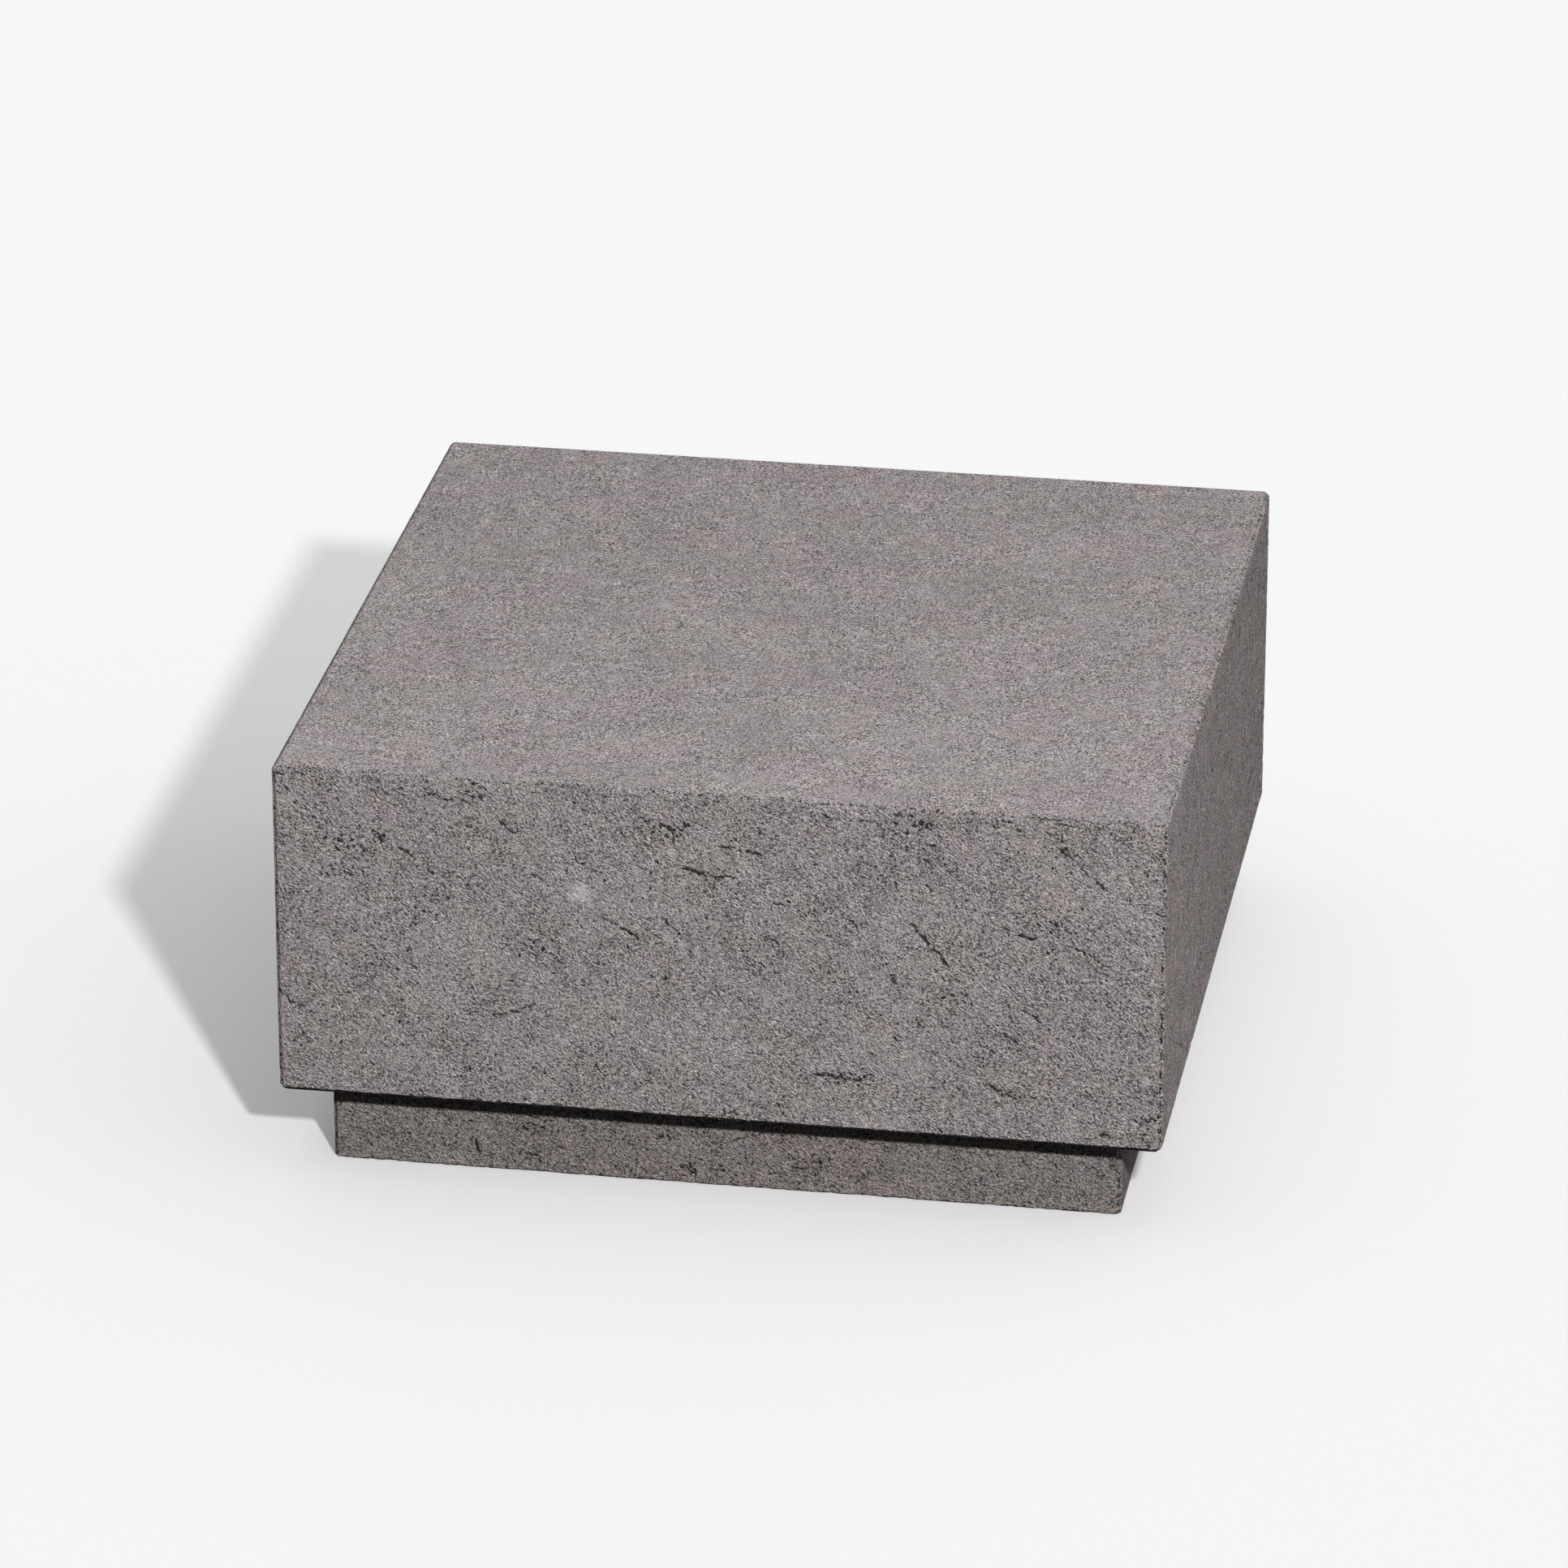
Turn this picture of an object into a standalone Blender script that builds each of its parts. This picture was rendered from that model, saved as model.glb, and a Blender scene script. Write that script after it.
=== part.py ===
"""A low square block table clad in granite slab, standing on a recessed granite plinth.

The outside is thirteen slabs of sawn granite with mitred edges: a top, four sides, four soffit
strips under the overhang and four plinth faces. They are bonded to a plywood torsion box, which
stands on a ring of plinth rails with a beech block in each corner. Each corner block holds a
threaded insert, and a levelling foot screws up into it.

Metres, +Z up. The origin is the centre of the plinth's underside, on the floor.
"""

import math

import bmesh
import bpy
from mathutils import Matrix, Vector

# Driving dimensions of the outside
WIDTH = 0.800  # the block is square in plan
BLOCK_HEIGHT = 0.320
PLINTH_HEIGHT = 0.083
PLINTH_INSET = 0.040  # from the block's side to the plinth's
SLAB = 0.020  # thickness of the granite
ARRIS = 0.005  # the flat eased edge of the granite, measured along each face
GLUE_LINE = 0.0004  # the gap between two mitred slabs
BED = 0.0005  # the adhesive bed between a slab and the plywood behind it
GAP = 0.0003  # between any two pieces that bear on each other

# Torsion box and plinth frame
PLY = 0.018  # core boards, walls and ribs
RAIL = 0.027  # plinth rails
RAIL_LIFT = 0.004  # the rails stay clear of the floor
CORNER_BLOCK = 0.070  # side of the square beech block
BLOCK_LIFT = 0.0217  # height of its underside

# Levelling foot, M10 with a 1.5 mm pitch, heights above the floor when it is wound right in
FOOT_TRAVEL = 0.012
STEM_RADIUS = 0.0049
STEM_TOP = 0.078
COLLAR_BASE, COLLAR_TOP = 0.0130, 0.0190
COLLAR_FLATS = 0.017  # across the flats of its hexagon
BALL_RADIUS, BALL_HEIGHT = 0.0045, 0.0090
NECK_RADIUS = 0.0032
SOCKET_CLEARANCE = 0.0004
PAD_RADIUS, PAD_BASE, PAD_TOP = 0.020, 0.0033, 0.0118
SOLE_RADIUS, SOLE_BASE, SOLE_TOP = 0.018, 0.0010, 0.0030
INSERT_FLANGE_RADIUS, INSERT_RADIUS, INSERT_BORE = 0.0125, 0.0070, 0.0054
INSERT_BASE, INSERT_FLANGE_TOP, INSERT_TOP = 0.0194, 0.0214, 0.0400

# Countersunk wood screw, 6 x 90
SCREW_HEAD_RADIUS, SCREW_RADIUS = 0.0060, 0.0030
SCREW_BASE, SCREW_LENGTH = 0.0280, 0.0900
SCREW_HEAD_DEPTH, SCREW_TIP = 0.0042, 0.0070
SCREW_OFFSET = 0.021  # along each side, from the foot's axis
HOLE_CLEARANCE = 0.0004

ROUND_STEPS = 24
ARC_STEPS = 5

# Worked out from the above
HALF = WIDTH / 2
BLOCK_BASE = PLINTH_HEIGHT
BLOCK_TOP = PLINTH_HEIGHT + BLOCK_HEIGHT
PLINTH_HALF = HALF - PLINTH_INSET
SOFFIT_INNER = PLINTH_HALF - SLAB  # the strips end flush with the plinth slabs' backs
CORE_HALF = HALF - SLAB - BED
CORE_BASE = BLOCK_BASE + SLAB + BED
CORE_TOP = BLOCK_TOP - SLAB - BED
WALL_BASE = CORE_BASE + PLY + GAP
WALL_TOP = CORE_TOP - PLY - GAP
RAIL_OUTER = PLINTH_HALF - SLAB - BED
RAIL_TOP = CORE_BASE - GAP
CORNER_OUTER = RAIL_OUTER - RAIL - GAP
FOOT_AXIS = CORNER_OUTER - CORNER_BLOCK / 2

SIDES = ("front", "right", "back", "left")  # each a quarter turn about +Z from the last
CORNERS = ("front_left", "front_right", "back_right", "back_left")


# ---- scene and materials -----------------------------------------------------------------------


def clear_scene():
    for obj in list(bpy.data.objects):
        bpy.data.objects.remove(obj)


def material(name, colour, roughness, metallic=0.0):
    made = bpy.data.materials.new(name)
    made.use_nodes = True
    shader = made.node_tree.nodes["Principled BSDF"]
    shader.inputs["Base Color"].default_value = (*colour, 1.0)
    shader.inputs["Roughness"].default_value = roughness
    shader.inputs["Metallic"].default_value = metallic
    return made


def link(name, mesh, finish, turn=0.0, parent=None):
    """A node from a mesh, turned about the table's own axis."""
    obj = bpy.data.objects.new(name, mesh)
    bpy.context.scene.collection.objects.link(obj)
    obj.rotation_euler.z = turn
    obj.parent = parent
    if not mesh.materials:
        mesh.materials.append(finish)
    return obj


def finished(bm, name):
    """The mesh of a bmesh, with its faces pointing out."""
    bmesh.ops.recalc_face_normals(bm, faces=bm.faces)
    mesh = bpy.data.meshes.new(name)
    bm.to_mesh(mesh)
    bm.free()
    return mesh


# ---- granite -------------------------------------------------------------------------------------


def eased_box(half, base, top, eased):
    """A square block centred on the Z axis. eased says by its ends which edges get the arris."""
    bm = bmesh.new()
    bmesh.ops.create_cube(bm, size=1.0)
    size = Vector((2 * half, 2 * half, top - base))
    bmesh.ops.scale(bm, vec=size, verts=bm.verts)
    bmesh.ops.translate(bm, vec=(0, 0, (base + top) / 2), verts=bm.verts)
    edges = [e for e in bm.edges if eased(e.verts[0].co, e.verts[1].co)]
    bmesh.ops.bevel(bm, geom=edges, offset=ARRIS, segments=1, affect="EDGES")
    return bm


def saw(bm, point, outward):
    """Cuts the body through point and keeps the part on the other side from outward, closed."""
    geometry = bm.verts[:] + bm.edges[:] + bm.faces[:]
    normal = Vector(outward).normalized()
    bmesh.ops.bisect_plane(bm, geom=geometry, plane_co=point, plane_no=normal, clear_outer=True)
    open_edges = [e for e in bm.edges if e.is_boundary]
    bmesh.ops.holes_fill(bm, edges=open_edges)


def saw_mitre(bm, edge_point, outward):
    """A saw cut through an edge, set back by half the glue line."""
    normal = Vector(outward).normalized()
    saw(bm, Vector(edge_point) - normal * GLUE_LINE / 2, normal)


def block_body():
    return eased_box(HALF, BLOCK_BASE, BLOCK_TOP, lambda a, b: True)


def plinth_body():
    """The plinth's top edges stay square, because they meet the soffit."""
    return eased_box(
        PLINTH_HALF, 0.0, BLOCK_BASE - GLUE_LINE, lambda a, b: min(a.z, b.z) < BLOCK_BASE / 2
    )


def top_slab():
    bm = block_body()
    saw(bm, (0, 0, BLOCK_TOP - SLAB), (0, 0, -1))
    for x, y in ((1, 0), (0, 1), (-1, 0), (0, -1)):
        saw_mitre(bm, (x * HALF, y * HALF, BLOCK_TOP), (x, y, -1))
    return finished(bm, "top_slab")


def front_slab():
    """Mitred to the top, to both neighbours and to its soffit strip."""
    bm = block_body()
    saw(bm, (0, SLAB - HALF, 0), (0, 1, 0))
    saw_mitre(bm, (0, -HALF, BLOCK_TOP), (0, 1, 1))
    saw_mitre(bm, (0, -HALF, BLOCK_BASE), (0, 1, -1))
    for x in (1, -1):
        saw_mitre(bm, (x * HALF, -HALF, 0), (x, 1, 0))
    return finished(bm, "side_slab")


def front_soffit():
    bm = block_body()
    saw(bm, (0, 0, BLOCK_BASE + SLAB), (0, 0, 1))
    saw(bm, (0, -SOFFIT_INNER, 0), (0, 1, 0))
    saw_mitre(bm, (0, -HALF, BLOCK_BASE), (0, -1, 1))
    for x in (1, -1):
        saw_mitre(bm, (x * HALF, -HALF, 0), (x, 1, 0))
    return finished(bm, "soffit")


def front_plinth_slab():
    bm = plinth_body()
    saw(bm, (0, SLAB - PLINTH_HALF, 0), (0, 1, 0))
    for x in (1, -1):
        saw_mitre(bm, (x * PLINTH_HALF, -PLINTH_HALF, 0), (x, 1, 0))
    return finished(bm, "plinth_slab")


def clad_in_granite(granite):
    link("top_slab", top_slab(), granite)
    ring = {"_slab": front_slab(), "_soffit": front_soffit(), "_plinth_slab": front_plinth_slab()}
    for ending, mesh in ring.items():
        for quarter, side in enumerate(SIDES):
            link(side + ending, mesh, granite, turn=quarter * math.pi / 2)


# ---- plywood torsion box --------------------------------------------------------------------------


def board(name, low, high):
    """A square-edged board between two opposite corners."""
    bm = bmesh.new()
    bmesh.ops.create_cube(bm, size=1.0)
    low, high = Vector(low), Vector(high)
    bmesh.ops.scale(bm, vec=high - low, verts=bm.verts)
    bmesh.ops.translate(bm, vec=(low + high) / 2, verts=bm.verts)
    return finished(bm, name)


def halved_rib(name, length, slot_from_top):
    """A rib along X with a slot in the middle, half its height deep, that its neighbour drops into."""
    slot = PLY / 2 + GAP
    middle = (WALL_BASE + WALL_TOP) / 2
    reach = middle - GAP / 2 if slot_from_top else middle + GAP / 2
    slot_end, far_end = (WALL_TOP, WALL_BASE) if slot_from_top else (WALL_BASE, WALL_TOP)
    outline = (
        (-length, far_end),
        (length, far_end),
        (length, slot_end),
        (slot, slot_end),
        (slot, reach),
        (-slot, reach),
        (-slot, slot_end),
        (-length, slot_end),
    )
    bm = bmesh.new()
    face = bm.faces.new([bm.verts.new((x, -PLY / 2, z)) for x, z in outline])
    sheet = bmesh.ops.extrude_face_region(bm, geom=[face])
    moved = [v for v in sheet["geom"] if isinstance(v, bmesh.types.BMVert)]
    bmesh.ops.translate(bm, vec=(0, PLY, 0), verts=moved)
    return finished(bm, name)


def build_core(plywood):
    """A base board and a deck with four walls between them, and two ribs halved over each other."""
    for name, low, high in (
        ("core_base_board", CORE_BASE, CORE_BASE + PLY),
        ("core_deck_board", CORE_TOP - PLY, CORE_TOP),
    ):
        mesh = board(name, (-CORE_HALF, -CORE_HALF, low), (CORE_HALF, CORE_HALF, high))
        link(name, mesh, plywood)
    inner = CORE_HALF - PLY
    long_wall = board("long_wall", (-CORE_HALF, -CORE_HALF, WALL_BASE), (CORE_HALF, -inner, WALL_TOP))
    short = inner - GAP
    short_wall = board("short_wall", (-short, -CORE_HALF, WALL_BASE), (short, -inner, WALL_TOP))
    for quarter, side in enumerate(SIDES):
        mesh = long_wall if side in ("front", "back") else short_wall
        link(f"core_{side}_wall", mesh, plywood, turn=quarter * math.pi / 2)
    for name, turn, slot_from_top in (("core_rib_x", 0.0, True), ("core_rib_y", math.pi / 2, False)):
        link(name, halved_rib(name, short, slot_from_top), plywood, turn=turn)


# ---- turned pieces --------------------------------------------------------------------------------


def turned(name, profile):
    """A closed body of revolution about Z. The profile runs from the axis, or from its inner bore."""
    bm = bmesh.new()
    ring = [bm.verts.new((r, 0, z)) for r, z in profile]
    closed = min(r for r, _ in profile) > 0
    pairs = list(zip(ring, ring[1:] + ring[:1] if closed else ring[1:]))
    edges = [bm.edges.new(pair) for pair in pairs]
    bmesh.ops.spin(
        bm,
        geom=ring + edges,
        axis=(0, 0, 1),
        cent=(0, 0, 0),
        angle=math.tau,
        steps=ROUND_STEPS,
        use_merge=True,
    )
    bmesh.ops.remove_doubles(bm, verts=bm.verts, dist=1e-6)
    return bm


def arc(radius, height, start, end):
    """Points (r, z) on a circle centred on the axis, from one angle above the horizontal to another."""
    steps = [start + (end - start) * i / ARC_STEPS for i in range(ARC_STEPS + 1)]
    return [(max(radius * math.cos(a), 0.0), height + radius * math.sin(a)) for a in steps]


def smooth(mesh):
    mesh.shade_smooth()
    mesh.set_sharp_from_angle(angle=math.radians(35))
    return mesh


def stem_mesh():
    """Ball end, neck, hexagonal collar and the M10 shank."""
    neck_angle = math.acos(NECK_RADIUS / BALL_RADIUS)
    collar = COLLAR_FLATS / math.sqrt(3)
    lead = 0.001
    profile = arc(BALL_RADIUS, BALL_HEIGHT, -math.pi / 2, neck_angle) + [
        (NECK_RADIUS, COLLAR_BASE),
        (collar, COLLAR_BASE),
        (collar, COLLAR_TOP),
        (STEM_RADIUS, COLLAR_TOP),
        (STEM_RADIUS, STEM_TOP - lead),
        (STEM_RADIUS - lead, STEM_TOP),
        (0.0, STEM_TOP),
    ]
    bm = turned("stem", profile)
    for i in range(6):
        flat = Matrix.Rotation(i * math.pi / 3, 3, "Z") @ Vector((1, 0, 0))
        saw(bm, flat * COLLAR_FLATS / 2, flat)
    return smooth(finished(bm, "levelling_stem"))


def pad_mesh():
    """A glide whose undercut socket keeps the ball in."""
    cavity = BALL_RADIUS + SOCKET_CLEARANCE
    mouth_angle = math.asin((PAD_TOP - BALL_HEIGHT) / cavity)
    skirt = 0.0035
    boss_radius, shoulder_radius = 0.0085, 0.0105
    profile = [
        (0.0, PAD_BASE),
        (PAD_RADIUS, PAD_BASE),
        (PAD_RADIUS, PAD_BASE + skirt),
        (shoulder_radius, PAD_TOP - 0.0020),
        (boss_radius, PAD_TOP),
    ] + arc(cavity, BALL_HEIGHT, mouth_angle, -math.pi / 2)
    return smooth(finished(turned("pad", profile), "levelling_pad"))


def sole_mesh():
    profile = [(0, SOLE_BASE), (SOLE_RADIUS, SOLE_BASE), (SOLE_RADIUS, SOLE_TOP), (0, SOLE_TOP)]
    return smooth(finished(turned("sole", profile), "pad_sole"))


def insert_mesh():
    """A flanged sleeve with the bore that the stem runs in."""
    profile = [
        (INSERT_BORE, INSERT_BASE),
        (INSERT_FLANGE_RADIUS, INSERT_BASE),
        (INSERT_FLANGE_RADIUS, INSERT_FLANGE_TOP),
        (INSERT_RADIUS, INSERT_FLANGE_TOP),
        (INSERT_RADIUS, INSERT_TOP),
        (INSERT_BORE, INSERT_TOP),
    ]
    return smooth(finished(turned("insert", profile), "levelling_insert"))


def screw_profile(clearance=0.0, head_run=0.0):
    """A countersunk screw, head down. As a hole, it is wider all round and its head runs out below."""
    head = SCREW_HEAD_RADIUS + clearance
    shank = SCREW_RADIUS + clearance
    tip = SCREW_BASE + SCREW_LENGTH + clearance
    return [
        (0.0, SCREW_BASE - clearance - head_run),
        (head, SCREW_BASE - clearance - head_run),
        (head, SCREW_BASE + clearance / 2),
        (shank, SCREW_BASE + SCREW_HEAD_DEPTH),
        (shank, tip - SCREW_TIP),
        (0.0, tip),
    ]


def bore_profile():
    """The stepped hole for an insert's sleeve, with room above it for the stem."""
    sleeve = INSERT_RADIUS + HOLE_CLEARANCE
    room = STEM_RADIUS + 2 * HOLE_CLEARANCE
    return [
        (0.0, INSERT_BASE),
        (sleeve, INSERT_BASE),
        (sleeve, INSERT_TOP + GAP),
        (room, INSERT_TOP + GAP),
        (room, STEM_TOP + 0.004),
        (0.0, STEM_TOP + 0.004),
    ]


# ---- plinth frame, fasteners and feet ---------------------------------------------------------------


def build_rails(plywood):
    """Four rails behind the plinth slabs. The front and back ones run through."""
    inner = RAIL_OUTER - RAIL
    long_rail = board("long_rail", (-RAIL_OUTER, -RAIL_OUTER, RAIL_LIFT), (RAIL_OUTER, -inner, RAIL_TOP))
    short = inner - GAP
    short_rail = board("short_rail", (-short, -RAIL_OUTER, RAIL_LIFT), (short, -inner, RAIL_TOP))
    for quarter, side in enumerate(SIDES):
        mesh = long_rail if side in ("front", "back") else short_rail
        link(f"{side}_plinth_rail", mesh, plywood, turn=quarter * math.pi / 2)


def drill(obj, cutter, name):
    hole = obj.modifiers.new(name, "BOOLEAN")
    hole.operation = "DIFFERENCE"
    hole.solver = "EXACT"
    hole.object = cutter


def hidden_cutter(name, mesh, location):
    cutter = bpy.data.objects.new(name, mesh)
    bpy.context.scene.collection.objects.link(cutter)
    cutter.location = location
    cutter.hide_render = True
    cutter.display_type = "WIRE"
    return cutter


def build_corners(beech, steel):
    """In each corner a beech block, its threaded insert and the two screws up into the base board."""
    block = board(
        "corner_block",
        (FOOT_AXIS - CORNER_BLOCK / 2, FOOT_AXIS - CORNER_BLOCK / 2, BLOCK_LIFT),
        (CORNER_OUTER, CORNER_OUTER, RAIL_TOP),
    )
    insert = insert_mesh()
    screw = smooth(finished(turned("screw", screw_profile()), "wood_screw"))
    screw_hole = finished(turned("hole", screw_profile(HOLE_CLEARANCE, BLOCK_LIFT)), "screw_hole")
    bore = finished(turned("bore", bore_profile()), "insert_bore")
    base_board = bpy.data.objects["core_base_board"]
    for quarter, corner in enumerate(CORNERS):
        turn = (quarter + 2) * math.pi / 2
        around = Matrix.Rotation(turn, 3, "Z")
        axis = around @ Vector((FOOT_AXIS, FOOT_AXIS, 0))
        holder = link(f"{corner}_corner_block", block, beech, turn=turn)
        drill(holder, hidden_cutter(f"{corner}_bore", bore, axis), "insert bore")
        link(f"{corner}_insert", insert, steel).location = axis
        for count, step in enumerate((SCREW_OFFSET, -SCREW_OFFSET), start=1):
            place = around @ Vector((FOOT_AXIS + step, FOOT_AXIS - step, 0))
            link(f"{corner}_screw_{count}", screw, steel).location = place
            hole = hidden_cutter(f"{corner}_hole_{count}", screw_hole, place)
            drill(holder, hole, f"screw hole {count}")
            drill(base_board, hole, f"{corner} {count}")


def build_feet(steel, nylon, rubber):
    """Each foot hangs from an empty on its screw axis: the stem turns in it, and pad and sole follow."""
    stem, pad, sole = stem_mesh(), pad_mesh(), sole_mesh()
    for quarter, corner in enumerate(CORNERS):
        around = Matrix.Rotation((quarter + 2) * math.pi / 2, 3, "Z")
        foot = bpy.data.objects.new(f"{corner}_foot_axis", None)
        bpy.context.scene.collection.objects.link(foot)
        foot.location = around @ Vector((FOOT_AXIS, FOOT_AXIS, 0))
        link(f"{corner}_foot_stem", stem, steel, parent=foot)
        link(f"{corner}_foot_pad", pad, nylon, parent=foot)
        link(f"{corner}_foot_sole", sole, rubber, parent=foot)


def main():
    clear_scene()
    granite = material("granite", (0.24, 0.22, 0.21), 0.85)
    plywood = material("birch_plywood", (0.62, 0.45, 0.28), 0.70)
    beech = material("beech", (0.60, 0.38, 0.22), 0.60)
    steel = material("zinc_plated_steel", (0.62, 0.62, 0.60), 0.35, metallic=1.0)
    nylon = material("black_nylon", (0.03, 0.03, 0.03), 0.50)
    rubber = material("grey_rubber", (0.10, 0.10, 0.10), 0.85)
    clad_in_granite(granite)
    build_core(plywood)
    build_rails(plywood)
    build_corners(beech, steel)
    build_feet(steel, nylon, rubber)


main()
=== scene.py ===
"""Looks of the granite block table: weathered slabs, the timber behind them and the levelling feet."""
import math

import bpy
import numpy as np
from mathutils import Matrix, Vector


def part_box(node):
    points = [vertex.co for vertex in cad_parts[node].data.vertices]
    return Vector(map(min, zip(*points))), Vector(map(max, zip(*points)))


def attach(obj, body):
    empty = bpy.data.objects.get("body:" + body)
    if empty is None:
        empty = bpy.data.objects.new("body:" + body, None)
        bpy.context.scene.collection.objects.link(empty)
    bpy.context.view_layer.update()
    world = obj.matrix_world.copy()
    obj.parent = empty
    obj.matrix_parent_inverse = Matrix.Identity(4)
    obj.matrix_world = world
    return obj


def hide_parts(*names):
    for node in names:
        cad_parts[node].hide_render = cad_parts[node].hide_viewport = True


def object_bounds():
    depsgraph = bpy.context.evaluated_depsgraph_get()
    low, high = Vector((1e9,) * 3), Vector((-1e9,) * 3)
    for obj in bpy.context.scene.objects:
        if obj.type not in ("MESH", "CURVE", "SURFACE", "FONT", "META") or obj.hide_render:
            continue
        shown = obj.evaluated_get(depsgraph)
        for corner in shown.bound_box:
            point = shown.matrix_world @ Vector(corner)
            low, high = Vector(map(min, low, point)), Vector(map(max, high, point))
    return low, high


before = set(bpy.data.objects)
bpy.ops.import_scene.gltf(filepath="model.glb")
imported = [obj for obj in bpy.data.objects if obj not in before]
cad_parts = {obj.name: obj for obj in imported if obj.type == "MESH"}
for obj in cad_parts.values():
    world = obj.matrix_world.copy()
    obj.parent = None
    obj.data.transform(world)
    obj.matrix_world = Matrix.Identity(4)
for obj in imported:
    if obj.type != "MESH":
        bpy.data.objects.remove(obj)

cad_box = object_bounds()

# Sizes read from the frame, in metres
HALF = cad_box[1][0]
BLOCK_TOP = cad_box[1][2]
BLOCK_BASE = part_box("front_soffit")[0].z
PLINTH_HALF = -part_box("left_plinth_slab")[0].x
PLINTH_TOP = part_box("left_plinth_slab")[1].z
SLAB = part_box("front_soffit")[1].z - BLOCK_BASE
SOFFIT_INNER = -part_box("front_soffit")[1].y
QUARTERS = {"front": 0, "right": 1, "back": 2, "left": 3}

# Masonry, in metres
ARRIS = 0.0052  # how much of each face the eased edge takes
SOFTNESS = 1.25  # 1 would be a flat chamfer, 2 a quarter round
ARRIS_STEPS = 7  # rows of points across an eased edge
HAIRLINE = 0.00002  # left open at each mitre
FACE_STEP = 0.00176  # between neighbouring points of a dressed face
TOP_STEP = 0.0027  # between neighbouring points of the smoother top


# ---- noise over whole arrays ----------------------------------------------------------------------


def lattice(corner, seed):
    """A number from 0 to 1 for each lattice corner: its coordinates, mixed by large odd factors."""
    whole = corner.astype(np.int64)
    mixed = whole[..., 0] * 374761393 + whole[..., 1] * 668265263 + whole[..., 2] * 2147483629
    mixed = (mixed + seed * 362437) & 0xFFFFFFFF
    mixed = ((mixed ^ (mixed >> 13)) * 1274126177) & 0xFFFFFFFF
    mixed = ((mixed ^ (mixed >> 16)) * 668265263) & 0xFFFFFFFF
    return (mixed ^ (mixed >> 15)) / 0xFFFFFFFF


def noise(points, cell, seed=0):
    """Smooth noise from -1 to 1: the numbers at a cell's eight corners, blended by 3t^2 - 2t^3."""
    place = points / cell
    corner = np.floor(place)
    part = place - corner
    part = part * part * (3 - 2 * part)
    total = 0.0
    for step in np.ndindex(2, 2, 2):
        share = np.where(step, part, 1 - part).prod(-1)
        total = total + share * lattice(corner + step, seed)
    return 2 * total - 1


def cloud(points, cell, octaves, seed=0):
    """Noise over several sizes: each octave has half the cell and 0.55 of the height of the last."""
    layers = [0.55**i * noise(points, cell / 2**i, seed + i) for i in range(octaves)]
    return sum(layers) / sum(0.55**i for i in range(octaves))


def rise(value, start, end):
    """0 up to start, 1 from end, and a smooth step between."""
    t = np.clip((value - start) / (end - start), 0, 1)
    return t * t * (3 - 2 * t)


# ---- meshes ----------------------------------------------------------------------------------------


def mesh_object(name, points, faces, values=None, flat=()):
    """A mesh from an array of points and a list of face arrays, each of one size. values are numbers
    kept at each point, and flat the numbers of the faces that aren't shaded smooth."""
    sizes = np.concatenate([np.full(len(f), f.shape[1]) for f in faces])
    corners = np.concatenate([f.ravel() for f in faces])
    mesh = bpy.data.meshes.new(name)
    mesh.vertices.add(len(points))
    mesh.vertices.foreach_set("co", points.astype(np.float32).ravel())
    mesh.loops.add(len(corners))
    mesh.loops.foreach_set("vertex_index", corners.astype(np.int32))
    mesh.polygons.add(len(sizes))
    starts = np.concatenate([[0], np.cumsum(sizes)[:-1]])
    mesh.polygons.foreach_set("loop_start", starts.astype(np.int32))
    mesh.update(calc_edges=True)
    for label, value in (values or {}).items():
        mesh.attributes.new(label, "FLOAT", "POINT").data.foreach_set("value", value.astype(np.float32))
    smooth = np.ones(len(sizes), dtype=bool)
    smooth[list(flat)] = False
    mesh.polygons.foreach_set("use_smooth", smooth)
    obj = bpy.data.objects.new(name, mesh)
    bpy.context.scene.collection.objects.link(obj)
    return obj


def quads(rows, columns, ring=False):
    """The faces of a grid of points numbered row by row. The rows close on themselves, and in a ring
    the columns do too."""
    row = np.arange(rows)[:, None]
    column = np.arange(columns if ring else columns - 1)[None, :]
    above, beside = (row + 1) % rows * columns, (column + 1) % columns
    row = row * columns
    corners = (row + column, row + beside, above + beside, above + column)
    return np.stack(np.broadcast_arrays(*corners), -1).reshape(-1, 4)


def tube(name, points, hubs, values=None, smooth_rows=None):
    """A closed surface: a grid whose rows close on themselves, and a fan round a hub at each end.
    Where smooth_rows is given, the faces past that row and the fans are shaded flat."""
    rows, columns = points.shape[:2]
    here = np.arange(rows) * columns
    following = np.roll(here, -1)
    first = np.stack([np.full(rows, rows * columns), here, following], -1)
    last = np.stack([np.full(rows, rows * columns + 1), following + columns - 1, here + columns - 1], -1)
    faces = [quads(rows, columns), first, last]
    flat = range((smooth_rows or 0) * (columns - 1), sum(len(f) for f in faces)) if smooth_rows else ()
    return mesh_object(name, np.concatenate([points.reshape(-1, 3), hubs]), faces, values, flat)


def spread(low, high, step, ease_low=True, ease_high=True):
    """Places from low to high, about a step apart, and closer within the eased edge at either end."""
    ends = np.linspace(0, 1, ARRIS_STEPS + 1) * ARRIS * 1.15
    start = low + (ends[-1] if ease_low else 0)
    stop = high - (ends[-1] if ease_high else 0)
    middle = np.linspace(start, stop, int(round((stop - start) / step)) + 1)
    first = low + ends[:-1] if ease_low else []
    last = high - ends[-2::-1] if ease_high else []
    return np.concatenate([first, middle, last])


# ---- the stone's surface --------------------------------------------------------------------------


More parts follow.
